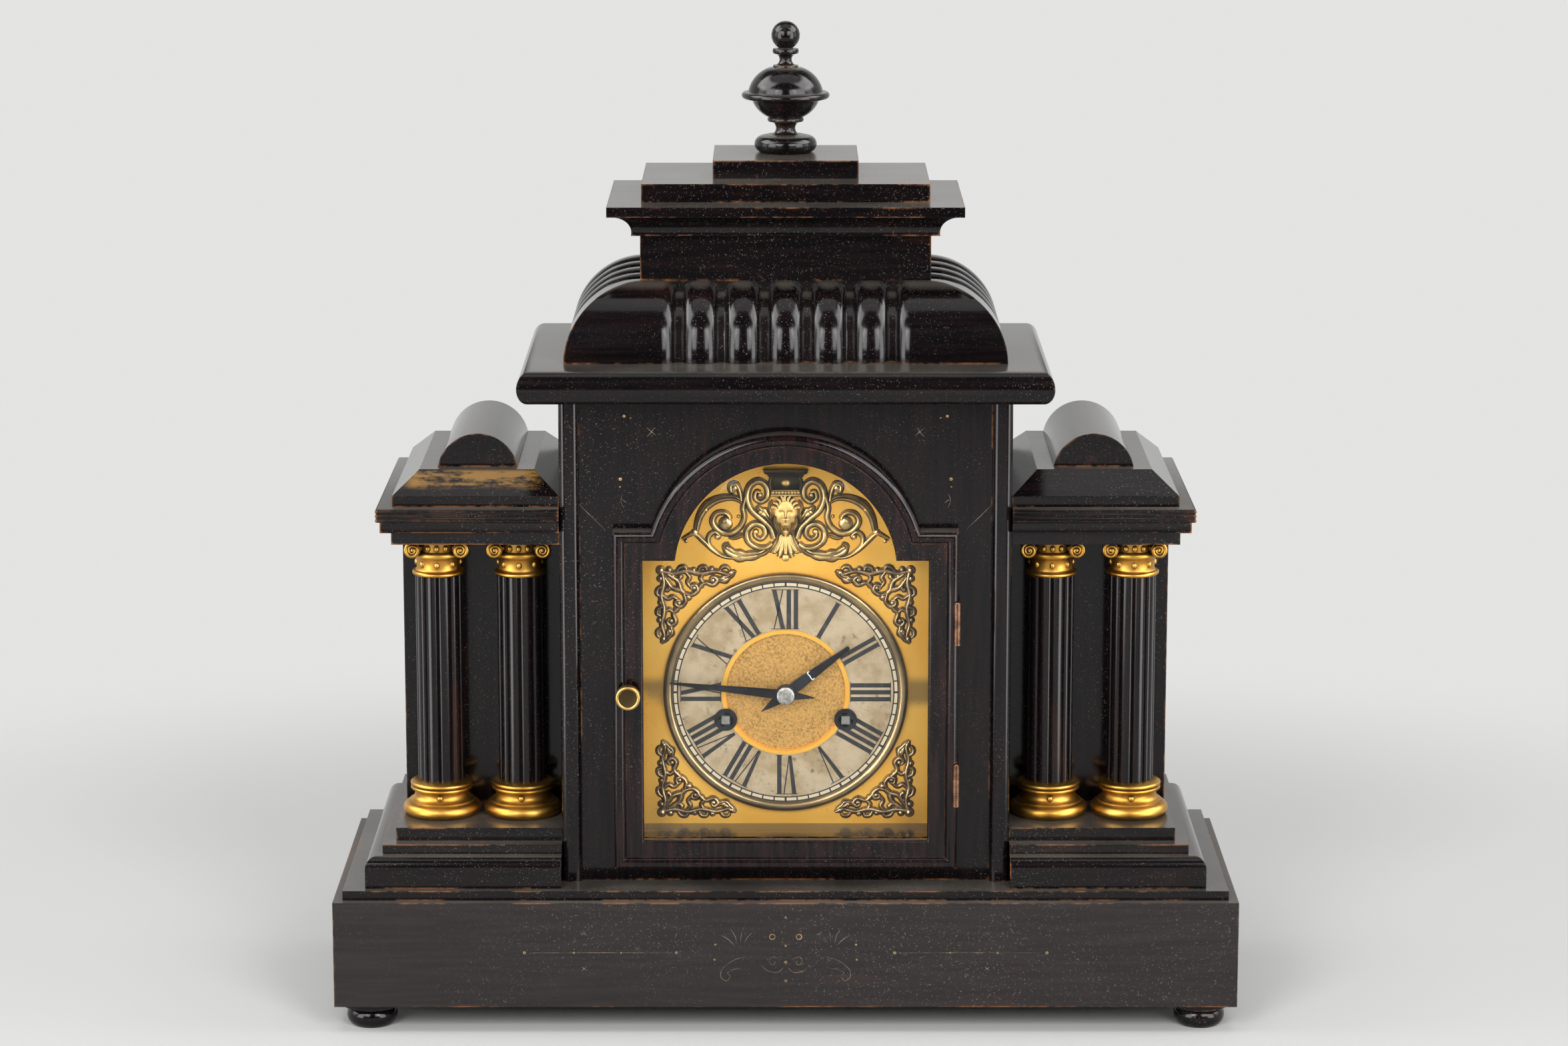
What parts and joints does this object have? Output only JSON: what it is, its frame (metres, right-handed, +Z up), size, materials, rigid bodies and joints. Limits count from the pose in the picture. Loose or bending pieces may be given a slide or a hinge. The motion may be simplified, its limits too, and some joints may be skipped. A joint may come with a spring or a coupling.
{
  "type": "mantel clock",
  "caption": "Ebonised wooden architectural mantel clock with gilt columned wings, gadrooned dome, turned finial, arched glazed door and a striking pendulum movement",
  "frame": {"origin": "on the table plane, under the middle of the plinth", "axes": "+Z up, dial faces -Y, +X to the viewer's right"},
  "size_m": [0.44, 0.156, 0.4818],
  "materials": {
    "ebonised_wood": "semi-gloss black stain, dusty, with worn brown edges",
    "plain_wood": "unfinished softwood",
    "aged_brass": "aged lacquered brass",
    "gilt_brass": "gilt castings, dark in the hollows",
    "silvered_brass": "aged silvering, mottled",
    "blackened_steel": "blackened, satin",
    "steel": "dulled steel",
    "black_iron": "black iron casting",
    "clear_glass": "clear, bevelled edge"
  },
  "bodies": {
    "case": {"bun_feet": "ebonised_wood", "plinth_box": "ebonised_wood", "floor_board": "ebonised_wood", "wing_bases": "ebonised_wood", "wing_bodies": "ebonised_wood", "column_bases": "gilt_brass", "column_shafts": "ebonised_wood", "column_capitals": "gilt_brass", "wing_entablatures": "ebonised_wood", "wing_roofs": "ebonised_wood", "wing_rolls": "ebonised_wood", "case_sides": "ebonised_wood", "front_panel": "ebonised_wood", "dial_board": "ebonised_wood", "seat_board": "plain_wood", "main_cornice": "ebonised_wood", "dome": "ebonised_wood", "neck_block": "ebonised_wood", "upper_cornice": "ebonised_wood", "roof_slabs": "ebonised_wood", "finial": "ebonised_wood", "case_hinge_leaves": "aged_brass", "hinge_pins": "steel", "dial_plate": "aged_brass", "dial_spandrels": "gilt_brass", "arch_ornament": "gilt_brass", "chapter_ring": "silvered_brass", "dial_bezel": "aged_brass", "winding_collars": "blackened_steel", "front_plate": "aged_brass", "back_plate": "aged_brass", "gong": "steel", "gong_stand": "black_iron"},
    "front_door": {"door_frame": "ebonised_wood", "door_glass": "clear_glass", "door_hinge_leaves": "aged_brass"},
    "catch": {"door_knob": "aged_brass"},
    "rear_door": {"back_door": "ebonised_wood", "back_hinge_leaves": "aged_brass"},
    "rear_button": {"back_button": "aged_brass"},
    "minute_work": {"minute_hand": "blackened_steel", "cannon_pinion": "steel", "hand_nut": "steel"},
    "hour_work": {"hour_hand": "blackened_steel", "hour_wheel": "aged_brass"},
    "minute_wheel_set": {"minute_wheel": "aged_brass"},
    "time_drum": {"time_barrel": "aged_brass"},
    "time_winder": {"time_winding_arbor": "steel"},
    "second_set": {"second_wheel": "aged_brass"},
    "centre_set": {"centre_wheel": "aged_brass"},
    "third_set": {"third_wheel": "aged_brass"},
    "escape_set": {"escape_wheel": "aged_brass"},
    "anchor": {"pallet_anchor": "steel"},
    "swing": {"pendulum": "aged_brass"},
    "strike_drum": {"strike_barrel": "aged_brass"},
    "strike_winder": {"strike_winding_arbor": "steel"},
    "pin_set": {"pin_wheel": "aged_brass"},
    "warning_set": {"warning_wheel": "aged_brass"},
    "fly_set": {"fly": "aged_brass"},
    "hammer_set": {"hammer": "steel"}
  },
  "joints": [
    {"name": "front_door_joint", "type": "hinge", "parent": "case", "child": "front_door", "pos_m": [0.0827, -0.0656, 0.16135], "axis": [0, 0, 1], "range_deg": [0, 110]},
    {"name": "catch_joint", "type": "hinge", "parent": "front_door", "child": "catch", "pos_m": [-0.0761, -0.065, 0.1662], "axis": [0, -1, 0], "range_deg": [0, 90]},
    {"name": "rear_door_joint", "type": "hinge", "parent": "case", "child": "rear_door", "pos_m": [0.09935, 0.0752, 0.18995], "axis": [0, 0, -1], "range_deg": [0, 110]},
    {"name": "rear_button_joint", "type": "hinge", "parent": "case", "child": "rear_button", "pos_m": [-0.1044, 0.074, 0.18995], "axis": [0, 1, 0], "range_deg": [0, 90]},
    {"name": "minute_work_joint", "type": "hinge", "parent": "case", "child": "minute_work", "pos_m": [0, -0.0292, 0.1589], "axis": [0, 1, 0], "continuous": true},
    {"name": "hour_work_joint", "type": "hinge", "parent": "case", "child": "hour_work", "pos_m": [0, -0.0292, 0.1589], "axis": [0, 1, 0], "continuous": true},
    {"name": "minute_wheel_set_joint", "type": "hinge", "parent": "case", "child": "minute_wheel_set", "pos_m": [0, -0.02, 0.1439], "axis": [0, 1, 0], "continuous": true},
    {"name": "escape_set_joint", "type": "hinge", "parent": "case", "child": "escape_set", "pos_m": [0, 0.002, 0.1909], "axis": [0, 1, 0], "continuous": true},
    {"name": "third_set_joint", "type": "hinge", "parent": "case", "child": "third_set", "pos_m": [-0.00654, 0.002, 0.17588], "axis": [0, 1, 0], "continuous": true},
    {"name": "centre_set_joint", "type": "hinge", "parent": "case", "child": "centre_set", "pos_m": [0, 0.002, 0.1589], "axis": [0, 1, 0], "continuous": true},
    {"name": "second_set_joint", "type": "hinge", "parent": "case", "child": "second_set", "pos_m": [0.01773, 0.002, 0.16816], "axis": [0, 1, 0], "continuous": true},
    {"name": "time_drum_joint", "type": "hinge", "parent": "case", "child": "time_drum", "pos_m": [0.0295, 0.002, 0.1452], "axis": [0, 1, 0], "continuous": true},
    {"name": "fly_set_joint", "type": "hinge", "parent": "case", "child": "fly_set", "pos_m": [-0.02769, 0.002, 0.19969], "axis": [0, 1, 0], "continuous": true},
    {"name": "warning_set_joint", "type": "hinge", "parent": "case", "child": "warning_set", "pos_m": [-0.02559, 0.002, 0.18782], "axis": [0, 1, 0], "continuous": true},
    {"name": "pin_set_joint", "type": "hinge", "parent": "case", "child": "pin_set", "pos_m": [-0.03175, 0.002, 0.1709], "axis": [0, 1, 0], "continuous": true},
    {"name": "strike_drum_joint", "type": "hinge", "parent": "case", "child": "strike_drum", "pos_m": [-0.0295, 0.002, 0.1452], "axis": [0, 1, 0], "continuous": true},
    {"name": "time_winder_joint", "type": "hinge", "parent": "case", "child": "time_winder", "pos_m": [0.0295, 0.002, 0.1452], "axis": [0, 1, 0], "continuous": true},
    {"name": "strike_winder_joint", "type": "hinge", "parent": "case", "child": "strike_winder", "pos_m": [-0.0295, 0.002, 0.1452], "axis": [0, 1, 0], "continuous": true},
    {"name": "swing_joint", "type": "hinge", "parent": "case", "child": "swing", "pos_m": [0, 0.036, 0.2062], "axis": [0, 1, 0], "range_deg": [-4, 4]},
    {"name": "anchor_joint", "type": "hinge", "parent": "case", "child": "anchor", "pos_m": [0, 0.036, 0.2062], "axis": [0, 1, 0], "range_deg": [-4, 4]},
    {"name": "hammer_set_joint", "type": "hinge", "parent": "case", "child": "hammer_set", "pos_m": [-0.05, 0.05, 0.178], "axis": [0, 1, 0], "range_deg": [0, 14], "stiffness_Nm_per_rad": 0.02, "springref_deg": -28.65}
  ],
  "couplings": [
    {"joint": "minute_wheel_set_joint", "follows": "minute_work_joint", "ratio": -0.33333},
    {"joint": "hour_work_joint", "follows": "minute_work_joint", "ratio": 0.083333},
    {"joint": "third_set_joint", "follows": "escape_set_joint", "ratio": -0.083333},
    {"joint": "centre_set_joint", "follows": "escape_set_joint", "ratio": 0.0069444},
    {"joint": "second_set_joint", "follows": "escape_set_joint", "ratio": -0.00099206},
    {"joint": "time_drum_joint", "follows": "escape_set_joint", "ratio": 0.00013053},
    {"joint": "warning_set_joint", "follows": "fly_set_joint", "ratio": -0.11667},
    {"joint": "pin_set_joint", "follows": "fly_set_joint", "ratio": 0.012963},
    {"joint": "strike_drum_joint", "follows": "fly_set_joint", "ratio": -0.0017057},
    {"joint": "anchor_joint", "follows": "swing_joint", "ratio": 1}
  ]
}
